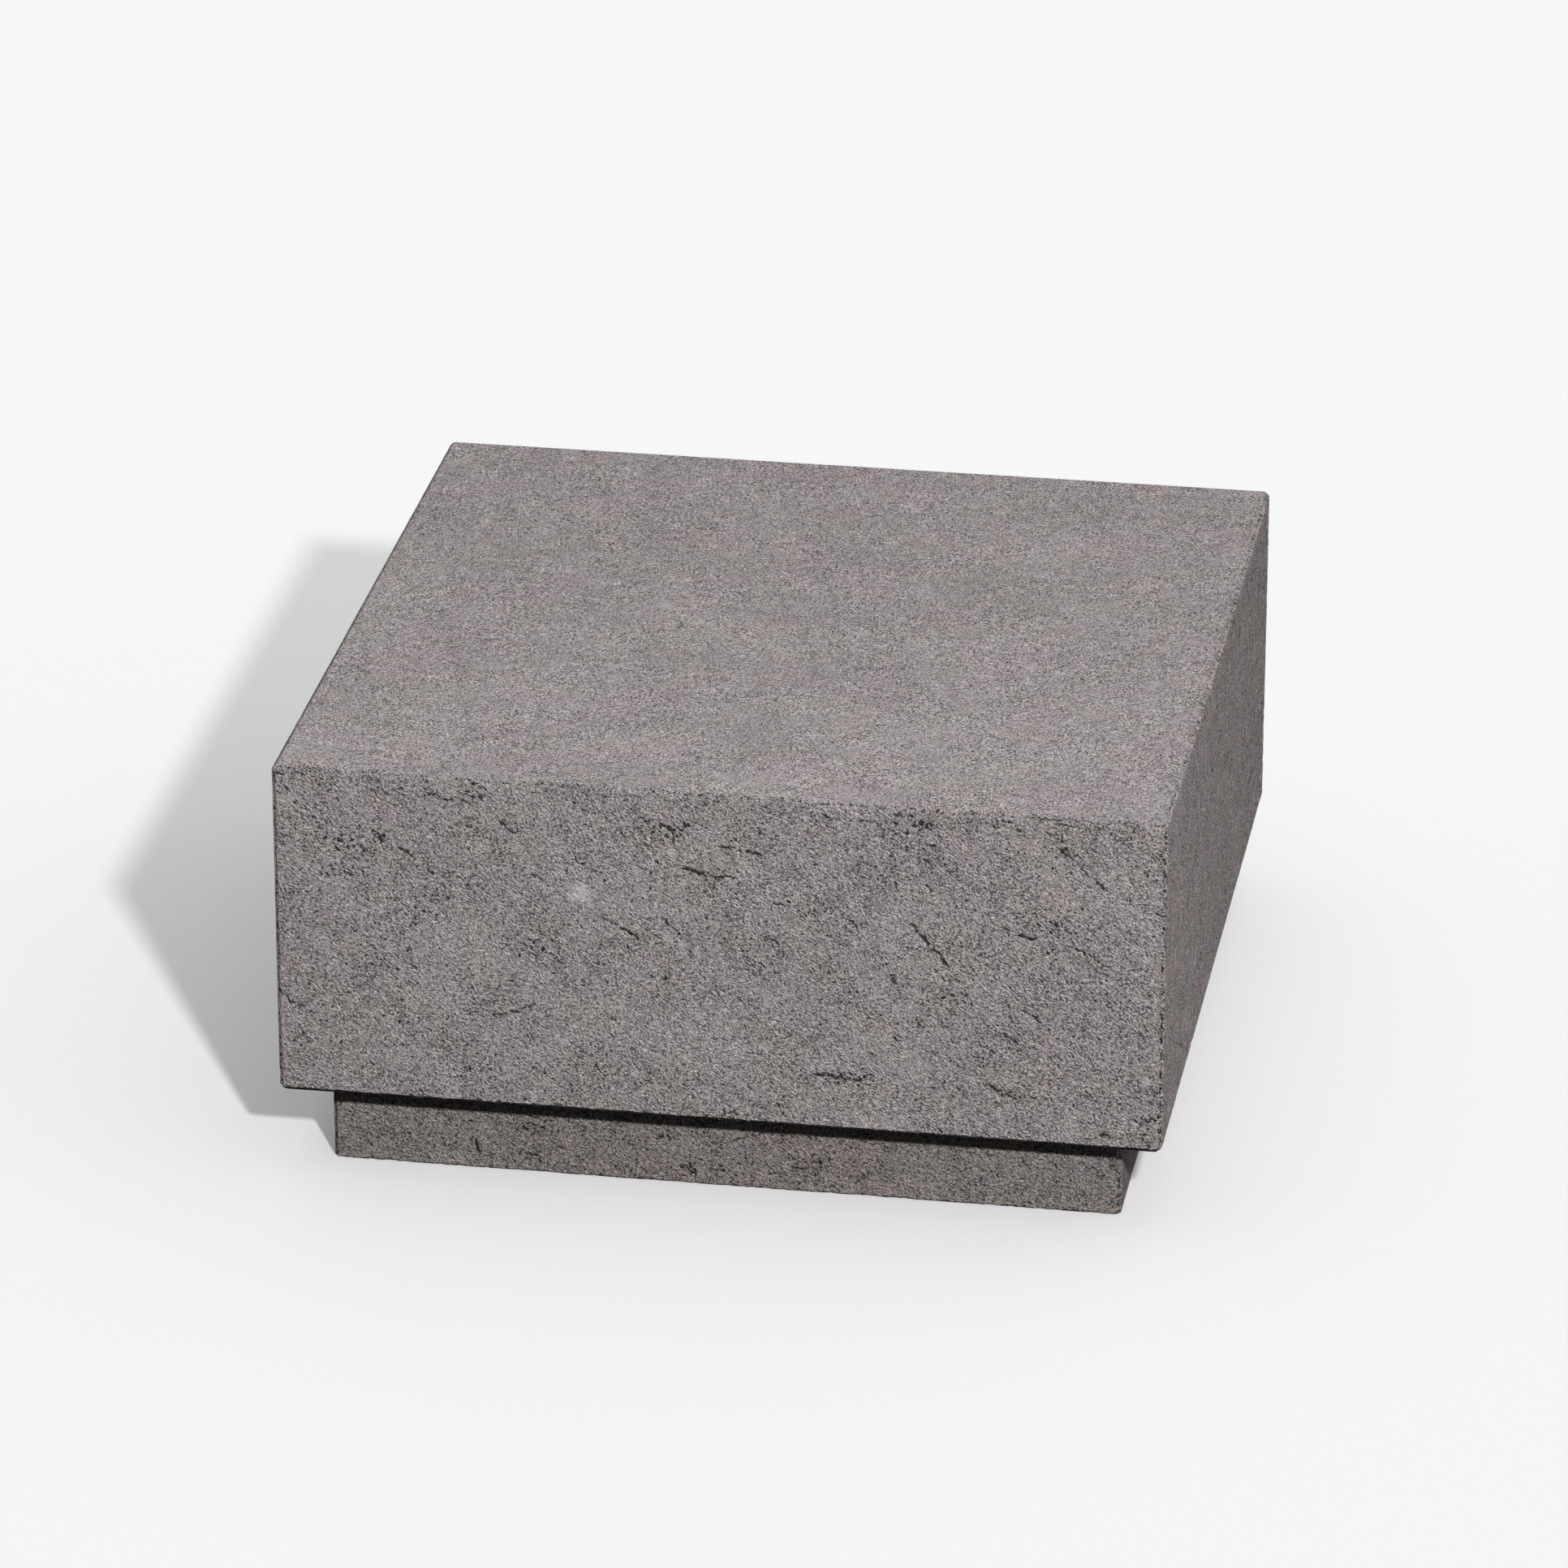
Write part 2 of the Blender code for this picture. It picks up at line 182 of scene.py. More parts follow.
def eased(sharp, low, high):
    """A sharp box's points on the eased box, with their outward normals. What a point stands out of
    the box ARRIS smaller all round is scaled until its parts' powers sum to the power of ARRIS."""
    inner = np.clip(sharp, low + ARRIS, high - ARRIS)
    out = sharp - inner
    size = (np.abs(out) ** SOFTNESS).sum(-1, keepdims=True) ** (1 / SOFTNESS)
    normal = np.sign(out) * np.abs(out) ** (SOFTNESS - 1)
    normal /= np.linalg.norm(normal, axis=-1, keepdims=True)
    edge = np.sort(np.abs(out), -1)[..., -2] / ARRIS
    return inner + out * (ARRIS / size), normal, edge


# Cracks on the front face, listed one by one: across, up, length, heading in degrees, depth
FRONT_CRACKS = (
    (-0.240, 0.382, 0.050, -6, 0.9),
    (-0.188, 0.357, 0.022, -40, 1.0),
    (-0.279, 0.326, 0.024, -42, 1.0),
    (-0.006, 0.326, 0.058, -5, 1.1),
    (0.022, 0.351, 0.050, -3, 1.0),
    (-0.086, 0.358, 0.014, -50, 0.9),
    (0.188, 0.350, 0.016, -50, 1.2),
    (0.318, 0.366, 0.052, -54, 0.8),
    (0.342, 0.340, 0.024, -50, 0.9),
    (0.190, 0.272, 0.062, -47, 1.2),
    (0.276, 0.286, 0.024, -14, 1.2),
    (0.322, 0.277, 0.020, -20, 0.9),
    (-0.085, 0.268, 0.050, -28, 0.8),
    (-0.040, 0.272, 0.030, -44, 0.8),
    (-0.182, 0.179, 0.048, 22, 0.7),
    (-0.382, 0.173, 0.046, -34, 1.0),
    (0.112, 0.136, 0.058, -4, 1.1),
    (0.256, 0.134, 0.038, -24, 0.9),
    (0.284, 0.206, 0.034, -32, 0.8),
    (0.052, 0.264, 0.022, -16, 0.7),
    (0.156, 0.242, 0.018, -24, 0.8),
    (0.262, 0.186, 0.022, -28, 0.8),
)
# Pitted patches of the front face: across, up, half width, half height
FRONT_PITS = (
    (-0.335, 0.333, 0.022, 0.010),
    (-0.337, 0.305, 0.018, 0.009),
    (-0.303, 0.342, 0.008, 0.022),
    (-0.215, 0.392, 0.010, 0.014),
    (-0.045, 0.366, 0.034, 0.012),
    (0.180, 0.388, 0.022, 0.010),
    (0.250, 0.396, 0.014, 0.006),
    (0.308, 0.370, 0.012, 0.008),
    (-0.155, 0.246, 0.026, 0.020),
    (0.213, 0.226, 0.026, 0.018),
    (0.300, 0.298, 0.018, 0.010),
    (0.118, 0.140, 0.032, 0.010),
    (0.270, 0.130, 0.018, 0.007),
    (0.388, 0.110, 0.014, 0.022),
    (-0.392, 0.396, 0.020, 0.010),
    (0.010, 0.092, 0.014, 0.008),
)
# Pale crystals of the front face and of the top: across, up or towards the back, radius
FRONT_FLECKS = (
    (-0.300, 0.312, 0.0040),
    (-0.040, 0.345, 0.0042),
    (-0.045, 0.262, 0.0038),
    (-0.030, 0.255, 0.0036),
    (-0.120, 0.300, 0.0075),
    (-0.128, 0.296, 0.0043),
    (0.232, 0.303, 0.0038),
    (-0.137, 0.153, 0.0041),
    (0.385, 0.153, 0.0043),
    (0.382, 0.272, 0.0036),
)
TOP_FLECKS = (
    (-0.120, 0.020, 0.0075),
    (0.228, 0.025, 0.0051),
    (-0.295, 0.026, 0.0046),
    (-0.340, 0.038, 0.0043),
    (-0.137, -0.126, 0.0046),
    (0.100, 0.020, 0.0038),
    (0.185, 0.038, 0.0038),
    (-0.142, 0.000, 0.0036),
)
# The same for the front of the plinth
PLINTH_CRACKS = (
    (-0.228, 0.022, 0.018, -72, 1.1),
    (0.022, 0.052, 0.038, 18, 0.8),
    (0.084, 0.050, 0.028, -38, 0.8),
    (-0.032, 0.016, 0.018, -35, 1.3),
)
PLINTH_PITS = (
    (-0.176, 0.046, 0.020, 0.010),
    (-0.172, 0.016, 0.022, 0.010),
    (-0.030, 0.013, 0.014, 0.010),
    (0.128, 0.022, 0.008, 0.006),
    (-0.060, 0.048, 0.010, 0.006),
)


CHOSEN_DEPTH = 1.3  # how much deeper the chosen cracks are cut than the others
# Over a whole side of the block: cracks, pitted patches, crystals and short scratches
CRACKS, PATCHES, CRYSTALS, SCRATCHES = 24, 12, 6, 70
PLINTH_SHARE = 0.25  # about a plinth face's area, as a share of a side's
PLINTH_SCRATCHES = 24


def deepened(cracks):
    """The same cracks, each CHOSEN_DEPTH times as deep."""
    return tuple((*place, CHOSEN_DEPTH * depth) for *place, depth in cracks)


def chance_cracks(draw, half, base, top, count, longest):
    """Cracks at random places, up to longest, most of them running down to the right at 35 degrees."""
    places = (draw.uniform(-half, half, count), draw.uniform(base, top, count))
    shapes = (draw.uniform(0.006, longest, count), draw.normal(-35, 28, count))
    return tuple(zip(*places, *shapes, draw.uniform(0.55, 1.0, count)))


def chance_marks(seed, half, base, top, area):
    """Marks for a face that has none of its own, in the front's sizes. area is its share of the front."""
    draw = np.random.default_rng(seed)
    cracks = chance_cracks(draw, half, base, top, int(CRACKS * area), 0.055)
    counts = (int(PATCHES * area), int(CRYSTALS * area))
    patches, crystals = ((draw.uniform(-half, half, n), draw.uniform(base, top, n)) for n in counts)
    patches += (draw.uniform(0.008, 0.030, counts[0]), draw.uniform(0.005, 0.014, counts[0]))
    crystals += (draw.uniform(0.0034, 0.0070, counts[1]),)
    return cracks, tuple(zip(*patches)), tuple(zip(*crystals))


def crack_fields(across, up, cracks, seed):
    """The nearest crack's signed distance in metres, its strength from 0 to 1 and its depth. A crack is
    a straight line plus wavering noise. Its strength fades to both ends and 5 mm from the line."""
    side = np.full(across.shape, 0.01)
    strength = np.zeros(across.shape)
    groove = np.zeros(across.shape)
    for number, (x, z, length, heading, depth) in enumerate(cracks, seed):
        close = np.hypot(across - x, up - z) < length / 2 + 0.006
        dx, dz = across[close] - x, up[close] - z
        cosine, sine = math.cos(math.radians(heading)), math.sin(math.radians(heading))
        along = dx * cosine + dz * sine
        line = np.stack([along, np.full_like(along, number * 0.37), np.zeros_like(along)], -1)
        waver = 0.0026 * noise(line, 0.012, number) + 0.0012 * noise(line, 0.0045, number + 50)
        aside = dz * cosine - dx * sine - waver
        fade = rise(0.5 - np.abs(along) / length, 0.0, 0.14) * depth
        reach = fade * rise(-np.abs(aside), -0.005, -0.0025)
        side[close] = np.where(reach > strength[close], aside, side[close])
        strength[close] = np.maximum(strength[close], reach)
        dip = 0.0006 * fade * np.exp(-((aside / 0.0017) ** 2))
        groove[close] = np.maximum(groove[close], dip)
    return side, strength, groove


def edge_pitting_and_painted_shade(edge, facing_up):
    """How pitted the eased edges are: most on upright ones, and painted dark where they turn under, a
    painted shade.
    edge goes from 0 on a face to 1 in the middle of an edge, and facing_up is the normal's Z."""
    upright = 1 - np.abs(facing_up)
    # painted shade: where an edge turns under, the stone is marked dark
    dark_marks_and_painted_shade = 2.2 * rise(-facing_up, 0.2, 0.75) * rise(edge, 0.0, 0.15)
    return np.maximum(rise(edge, 0.1, 0.8) * (0.48 + 0.42 * upright), dark_marks_and_painted_shade)


def surface_marks(points, across, up, edge_pits_and_painted_shade, cracks, patches, flecks, seed):
    """The masks a face's marks leave at each point, and how deep its cracks and pits go, in metres."""
    side, strength, groove = crack_fields(across, up, cracks, seed)
    # the pitting mask also carries the painted shade of edges that turn under
    pitting_and_painted_shade = np.maximum(0.3 * rise(cloud(points, 0.09, 2, seed + 3), 0, 0.7), edge_pits_and_painted_shade)
    for x, z, wide, high in patches:
        spot = 0.8 * np.exp(-(((across - x) / wide) ** 2 + ((up - z) / high) ** 2))
        pitting_and_painted_shade = np.maximum(pitting_and_painted_shade, spot)
    fleck = np.zeros(across.shape)
    for x, z, radius in flecks:
        fleck = np.maximum(fleck, np.exp(-((across - x) ** 2 + (up - z) ** 2) / (2 * radius**2)))
    fine = 0.65 * noise(points, 0.0042, seed + 5) + 0.35 * noise(points, 0.0090, seed + 6)
    pits = 0.0006 * rise(fine + 0.48 * np.minimum(pitting_and_painted_shade, 1), 0.46, 0.80)
    masks = {"crack": strength, "crack_side": side * 1000, "pitting_and_painted_shade": pitting_and_painted_shade, "fleck": fleck}
    return np.maximum(groove, pits), masks


def weathered(points, normal, edge, depth_of_hollows, dressing):
    """Points moved in along their normals by hollows, dressing marks and chips."""
    relief = 0.00010 * noise(points, 0.0050, 11) + 0.00012 * cloud(points, 0.016, 2, 12)
    swell = 0.00030 * cloud(points, 0.12, 2, 14)
    broken = rise(cloud(points, 0.013, 3, 15) + 0.25 * cloud(points, 0.09, 1, 16), 0.12, 0.75)
    chips = 0.0020 * broken * rise(edge, 0.25, 0.95)
    inward = dressing * (relief + depth_of_hollows) + swell + (0.35 + 0.65 * dressing) * chips + 0.0004
    return points - normal * inward[..., None]


# ---- slabs ------------------------------------------------------------------------------------------


def slab(name, rows, hidden, shares, reach, box, turn, marks, seed):
    """A slab as a profile in Y and Z carried along X. rows are its outer points, hidden its few inner
    ones, and x is each share from -1 to 1 times the profile's reach there, so the ends are mitred."""
    profile = np.array(list(rows) + list(hidden))
    half = np.array([reach(y, z) for y, z in profile])
    x = shares[None, :] * half[:, None]
    y, z = (np.broadcast_to(profile[:, i : i + 1], x.shape) for i in (0, 1))
    points = np.stack([x, y, z], -1)
    outer = len(rows)
    level = rows[0][1] == rows[-1][1]
    surface, normal, edge = eased(points[:outer], *box)
    spun = quarter_turned(surface, turn)
    dressing = np.clip(1.0 - rise(normal[..., 2], 0.62, 0.995), 0.12, 1)
    across, up = surface[..., 0], surface[..., 1 if level else 2]
    depth, masks = surface_marks(spun, across, up, edge_pitting_and_painted_shade(edge, normal[..., 2]), *marks, seed)
    worn = weathered(spun, quarter_turned(normal, turn), edge, depth, dressing)
    points = quarter_turned(points, turn)
    points[:outer] = worn
    masks["dressing"] = dressing
    count, columns = x.shape
    centre = profile[[0, *range(outer - 1, count)]].mean(0)
    hubs = quarter_turned(np.array([[end * reach(*centre), *centre] for end in shares[[0, -1]]]), turn)
    unworn = np.zeros((count - outer) * columns + 2)
    values = {label: np.append(mask.ravel(), unworn) for label, mask in masks.items()}
    return tube(name, points, hubs, values, outer - 1)


def quarter_turned(points, quarters):
    """Points turned about Z by that many quarter turns."""
    cosine, sine = ((1, 0), (0, 1), (-1, 0), (0, -1))[quarters]
    turned = points.copy()
    turned[..., 0] = cosine * points[..., 0] - sine * points[..., 1]
    turned[..., 1] = sine * points[..., 0] + cosine * points[..., 1]
    return turned


def shares_along(half, step):
    """Shares of a slab's reach, from -1 to 1 and about a step apart, short of both mitres by a hairline."""
    return spread(-half, half, step) * (1 - HAIRLINE / half) / half


def reach_of_top(y, z):
    """The top's mitres lean in by as much as a point lies below the surface."""
    return HALF - (BLOCK_TOP - z)


def reach_of_side(y, z):
    """A side's mitres run along the diagonals, so it reaches as far across as it is from the middle."""
    return -y


BURIED = 0.003  # how far down the plinth's eased edge would go, so that only a little of it shows
BLOCK_BOX = (np.array([-HALF, -HALF, BLOCK_BASE]), np.array([HALF, HALF, BLOCK_TOP]))
PLINTH_CORNER = np.array([PLINTH_HALF, PLINTH_HALF, BLOCK_TOP])
PLINTH_BOX = (np.array([-PLINTH_HALF, -PLINTH_HALF, -BURIED]), PLINTH_CORNER)


def top_slab(marks):
    """The top: across the whole block, mitred to the four sides."""
    rows = [(y, BLOCK_TOP) for y in spread(-HALF + HAIRLINE, HALF - HAIRLINE, TOP_STEP)]
    hidden = [(HALF - SLAB, BLOCK_TOP - SLAB), (SLAB - HALF, BLOCK_TOP - SLAB)]
    shares = shares_along(HALF, TOP_STEP)
    return slab("granite_top", rows, hidden, shares, reach_of_top, BLOCK_BOX, 0, marks, 0)


def side_slab(side, marks, seed):
    """A side of the block, mitred to the top, to both neighbours and to the soffit."""
    rows = [(-HALF, z) for z in spread(BLOCK_BASE + HAIRLINE, BLOCK_TOP - HAIRLINE, FACE_STEP)]
    hidden = [(SLAB - HALF, BLOCK_TOP - SLAB), (SLAB - HALF, BLOCK_BASE + SLAB)]
    shares = shares_along(HALF, FACE_STEP)
    turn = QUARTERS[side]
    return slab(f"granite_{side}", rows, hidden, shares, reach_of_side, BLOCK_BOX, turn, marks, seed)


def soffit_slab(side, seed):
    """The strip under the overhang, from its inner edge out to its mitre with the side."""
    outer_edge = -HALF + HAIRLINE
    inner_to_outer = spread(-SOFFIT_INNER, outer_edge, -TOP_STEP * 2, False, False)
    closer = np.linspace(inner_to_outer[-4], outer_edge, ARRIS_STEPS * 2)[1:]
    rows = [(y, BLOCK_BASE) for y in (*inner_to_outer[:-3], *closer)]
    hidden = [(SLAB - HALF, BLOCK_BASE + SLAB), (-SOFFIT_INNER, BLOCK_BASE + SLAB)]
    shares = shares_along(HALF, TOP_STEP * 2)
    turn, marks = QUARTERS[side], ((), (), ())
    return slab(f"granite_{side}_soffit", rows, hidden, shares, reach_of_side, BLOCK_BOX, turn, marks, seed)


def plinth_slab(side, marks, seed):
    """A face of the plinth, up to the soffit. Only a little of its bottom edge is eased."""
    back = SLAB - PLINTH_HALF
    rows = [(-PLINTH_HALF, z) for z in spread(0.0, PLINTH_TOP, FACE_STEP, True, False)]
    hidden = [(back, PLINTH_TOP), (back, 0.0004)]
    shares = shares_along(PLINTH_HALF, FACE_STEP)
    turn = QUARTERS[side]
    return slab(f"granite_{side}_plinth", rows, hidden, shares, reach_of_side, PLINTH_BOX, turn, marks, seed)


# ---- levelling feet ---------------------------------------------------------------------------------

CORNERS = {"front_left": (-1, -1), "front_right": (1, -1), "back_right": (1, 1), "back_left": (-1, 1)}
FOOT_AXIS = (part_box("front_right_foot_pad")[0].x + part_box("front_right_foot_pad")[1].x) / 2
THREAD_PITCH = 0.0015
COLLAR_TOP, STEM_TOP = 0.0190, 0.0780  # heights on a foot that is wound in


def turned_piece(name, centre, steps, shape, ring=False):
    """A surface of revolution with ripples. shape takes the arrays of step and angle and gives height
    and radius there, and the point is the centre plus the radius in the angle's direction."""
    angles = np.linspace(0, -2 * math.pi, steps, endpoint=False)[:, None]
    height, radius = shape(angles)
    across, along = radius * np.cos(angles), radius * np.sin(angles)
    points = np.stack(np.broadcast_arrays(centre[0] + across, centre[1] + along, height), -1)
    if ring:
        return mesh_object(name, points.reshape(-1, 3), [quads(*points.shape[:2], ring=True)])
    hubs = np.array([[*centre, points[:, end, 2].mean()] for end in (0, -1)])
    return tube(name, points, hubs)


def sharpen(piece):
    """Edges of more than 32 degrees are left sharp."""
    piece.data.set_sharp_from_angle(angle=math.radians(32))
    return piece


def screw_thread(height, angles, pitch, depth):
    """How far a thread's flank lies inside its crest: a triangle wave climbing one pitch each turn."""
    turn = height / pitch - angles / (2 * math.pi)
    wave = np.abs(2 * (turn - np.floor(turn)) - 1)
    return depth * np.clip(1.25 * wave - 0.12, 0, 1)


def stem_shape(angles):
    """From the ball up: ball, neck, hexagonal collar with eased corners, and the threaded stem."""
    swing = np.linspace(-0.98, 0.70, 9)
    ball = (0.0090 + 0.0045 * swing, 0.0045 * np.sqrt(1 - swing**2))
    neck = (np.array([0.0124, 0.0130]), np.full(2, 0.0032))
    collar = np.array([0.0130, 0.0130, 0.0134, 0.0142, 0.0178, 0.0186, COLLAR_TOP, COLLAR_TOP])
    eased_to = np.array([0.0050, 0.0084, 0.0090, 0.0099, 0.0099, 0.0090, 0.0084, 0.0050])
    corner = (angles + math.pi / 6) % (math.pi / 3) - math.pi / 6
    hexagon = np.minimum(0.0085 / np.cos(corner), eased_to)
    thread = np.arange(COLLAR_TOP, STEM_TOP, THREAD_PITCH / 7)
    faded = rise(thread, COLLAR_TOP, COLLAR_TOP + THREAD_PITCH)
    crest = np.minimum(0.0049, 0.0036 + (STEM_TOP - thread))
    threaded = crest - faded * screw_thread(thread, angles, THREAD_PITCH, 0.0009)
    height = np.concatenate([ball[0], neck[0], collar, thread])
    parts = (ball[1], neck[1], hexagon, threaded)
    parts = [np.broadcast_to(part, (len(angles), part.shape[-1])) for part in parts]
    return height, np.concatenate(parts, 1)


def pad_shape(angles):
    """A moulded cup: a flat base, a finger grip of shallow flutes round its rim, and a sloping top."""
    height = np.array([33, 33, 34, 38, 42, 72, 76, 80, 90, 112, 117, 118, 118, 114, 108]) / 10000
    radius = np.array([60, 190, 196, 199, 200, 200, 199, 194, 150, 92, 84, 78, 56, 50, 44]) / 10000
    flutes = rise(np.cos(24 * angles), 0.2, 0.9) * np.exp(-(((height - 0.0057) / 0.0020) ** 4))
    return height, radius * (1 - 0.035 * flutes)


def sole_shape(angles):
    """A thin disc with three round grooves in its underside."""
    under = np.linspace(0.0010, 0.0176, 70)
    grooves = 0.0006 * rise(np.cos(2 * math.pi * (under - 0.0030) / 0.0042), 0.3, 0.8)
    height = np.concatenate([0.0010 + grooves, [0.0012, 0.0015, 0.0027, 0.0030, 0.0030]])
    radius = np.concatenate([under, [0.0179, 0.0180, 0.0180, 0.0178, 0.0060]])
    return height, radius + 0 * angles


def insert_shape(angles):
    """A flanged sleeve: the flange with four driving notches, a coarse outer thread, and the bore."""
    flange = np.array([194, 194, 198, 210, 214, 214]) / 10000
    rim = np.array([54, 119, 125, 125, 119, 72]) / 10000
    notches = 0.0016 * rise(np.cos(4 * angles), 0.86, 0.93) * (rim > 0.0110)
    sleeve = np.arange(0.0216, 0.0396, 0.00025)
    coarse = 0.0070 - screw_thread(sleeve, angles, 0.0030, 0.0008) * rise(sleeve, 0.0216, 0.0226)
    height = np.concatenate([flange, sleeve, [0.0400, 0.0400, 0.0330, 0.0260]])
    bore = np.array([0.0060, 0.0054, 0.0054, 0.0054])
    parts = [np.broadcast_to(part, (len(angles), part.shape[-1])) for part in (rim - notches, coarse, bore)]
    return height, np.concatenate(parts, 1)


def screw_shape(angles):
    """A countersunk screw, head down: the head with its cross recess, the cone, the thread and tip."""
    face = np.linspace(0.0002, 0.0058, 26)
    x, y = np.abs(face * np.cos(angles)), np.abs(face * np.sin(angles))
    arms = [rise(0.0010 - a, 0, 0.0003) * rise(0.0032 - b, 0, 0.0005) for a, b in ((x, y), (y, x))]
    head = 0.0280 + 0.0018 * np.maximum(*arms)
    cone = np.array([[0.0281, 0.0284, 0.0316, 0.0330]]) + 0 * angles
    shank = np.arange(0.0335, 0.1120, 0.00045)
    tip = np.array([[0.1140, 0.1165, 0.1178]]) + 0 * angles
    height = np.concatenate([head, cone, shank + 0 * angles, tip], 1)
    threaded = 0.0030 - screw_thread(shank, angles, 0.0027, 0.0008)
    radii = (face, np.array([0.0060, 0.0060, 0.0032, 0.0028]), threaded, np.array([0.0022, 0.0011, 0.0003]))
    return height, np.concatenate([np.broadcast_to(r, (len(angles), r.shape[-1])) for r in radii], 1)


# ---- materials --------------------------------------------------------------------------------------


class Tree:
    """Shader nodes by short calls: each call adds a node and gives back its output."""

    def __init__(self, tree):
        self.tree = tree

    def add(self, kind, settings=None, inputs=None, output=0):
        """A node with its settings and inputs. An input is a number, a colour or another output."""
        node = self.tree.nodes.new(kind)
        for label, value in (settings or {}).items():
            setattr(node, label, value)
        for label, value in (inputs or {}).items():
            self.feed(node.inputs[label], value)
        return node.outputs[output]

    def feed(self, socket, value):
        """A link from another output, or a plain value, into a socket."""
        if isinstance(value, bpy.types.NodeSocket):
            self.tree.links.new(value, socket)
        else:
            socket.default_value = value

    def math(self, operation, first, second=0.0, third=0.0):
        """One step of arithmetic on up to three numbers."""
        inputs = {0: first, 1: second, 2: third}
        return self.add("ShaderNodeMath", {"operation": operation}, inputs)

    def noise(self, vector, size, detail=2.0, roughness=0.5, distortion=0.0):
        """Noise from 0 to 1 whose features are about size metres across."""
        inputs = {"Vector": vector, "Scale": 1 / size, "Detail": detail, "Roughness": roughness}
        return self.add("ShaderNodeTexNoise", None, {**inputs, "Distortion": distortion})

    def map(self, value, low, high, to_low=0.0, to_high=1.0, smooth=True):
        """to_low up to low, to_high from high, and a smooth step or a straight line between."""
        kind = "SMOOTHSTEP" if smooth else "LINEAR"
        inputs = {"Value": value, "From Min": low, "From Max": high, "To Min": to_low, "To Max": to_high}
        return self.add("ShaderNodeMapRange", {"interpolation_type": kind}, inputs)

    def mix(self, share, first, second, blend="MIX"):
        """Two colours blended: the first at share 0, and the second's full effect at share 1."""
        settings = {"data_type": "RGBA", "blend_type": blend, "clamp_result": False}
        return self.add("ShaderNodeMix", settings, {0: share, 6: first, 7: second}, output=2)

    def parts(self, vector):
        """A vector's three numbers."""
        node = self.tree.nodes.new("ShaderNodeSeparateXYZ")
        self.feed(node.inputs[0], vector)
        return tuple(node.outputs)

    def scale_colour(self, colour, factor):
        """A colour times a number."""
        grey = self.add("ShaderNodeCombineColor", None, {0: factor, 1: factor, 2: factor})
        return self.mix(1.0, colour, grey, "MULTIPLY")


def colour(red, green, blue):
    """An opaque colour, in the form that a socket takes."""
    return (red, green, blue, 1.0)


def new_group(name, inputs, outputs):
    """An empty node group. inputs give each socket's kind and its value."""
    group = bpy.data.node_groups.new(name, "ShaderNodeTree")
    for label, (kind, value) in inputs.items():
        socket = group.interface.new_socket(label, in_out="INPUT", socket_type=kind)
        if value is not None:
            socket.default_value = value
    for label, kind in outputs.items():
        group.interface.new_socket(label, in_out="OUTPUT", socket_type=kind)
    start, end = group.nodes.new("NodeGroupInput"), group.nodes.new("NodeGroupOutput")
    return Tree(group), start.outputs, end.inputs


